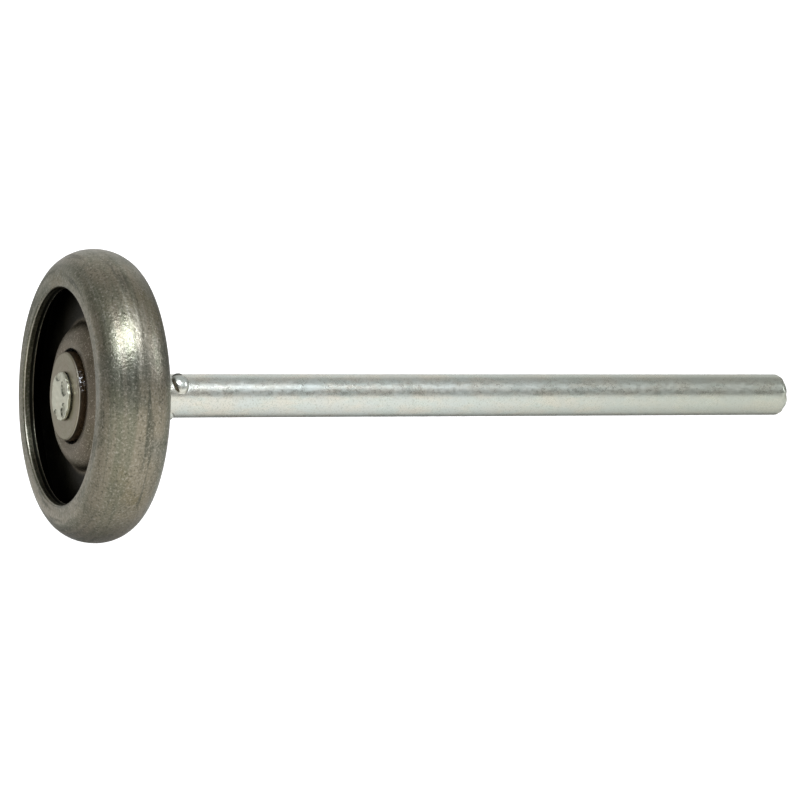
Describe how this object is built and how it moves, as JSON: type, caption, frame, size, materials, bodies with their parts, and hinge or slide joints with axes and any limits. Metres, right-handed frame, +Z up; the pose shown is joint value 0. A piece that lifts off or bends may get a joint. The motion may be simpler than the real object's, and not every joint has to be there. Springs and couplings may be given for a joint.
{
  "type": "garage door track roller",
  "caption": "Long-stem garage door roller: rolled steel wheel on loose balls, turning on a zinc-plated steel stem with swaged ears and a chamfered tail.",
  "frame": {"origin": "centre of the wheel, on the stem's axis, where the wheel's centre plane crosses it", "axes": "+Y along the stem from the wheel to the stem's free end, and the wheel spins about it; +Z up with the stem lying level"},
  "size_m": [0.0742, 0.2078, 0.0742],
  "materials": {
    "zinc_plated_steel": "bright zinc plate, pale and faintly green, satin with fine speckle",
    "oiled_bare_steel": "bare rolled steel with an oil film, satin, faint rolling streaks",
    "pressed_steel": "bare pressed steel, dull satin with a thin oil film",
    "race_steel": "turned and hardened steel, satin",
    "ball_steel": "polished hardened ball"
  },
  "bodies": {
    "stem": {"stem": "zinc_plated_steel", "front_race_cone": "race_steel", "rear_race_cone": "race_steel", "rear_spacer": "pressed_steel"},
    "wheel": {"tire": "oiled_bare_steel", "front_hub_shell": "pressed_steel", "rear_hub_shell": "pressed_steel"},
    "ball_set": {"ball_01": "ball_steel", "ball_02": "ball_steel", "ball_03": "ball_steel", "ball_04": "ball_steel", "ball_05": "ball_steel", "ball_06": "ball_steel", "ball_07": "ball_steel", "ball_08": "ball_steel", "ball_09": "ball_steel", "ball_10": "ball_steel"}
  },
  "joints": [
    {"name": "wheel_spin", "type": "hinge", "parent": "stem", "child": "wheel", "pos_m": [0, 0, 0], "axis": [0, 1, 0], "continuous": true},
    {"name": "ball_orbit", "type": "hinge", "parent": "stem", "child": "ball_set", "pos_m": [0, 0, 0], "axis": [0, 1, 0], "continuous": true}
  ],
  "couplings": [
    {"joint": "ball_orbit", "follows": "wheel_spin", "ratio": 0.625}
  ]
}
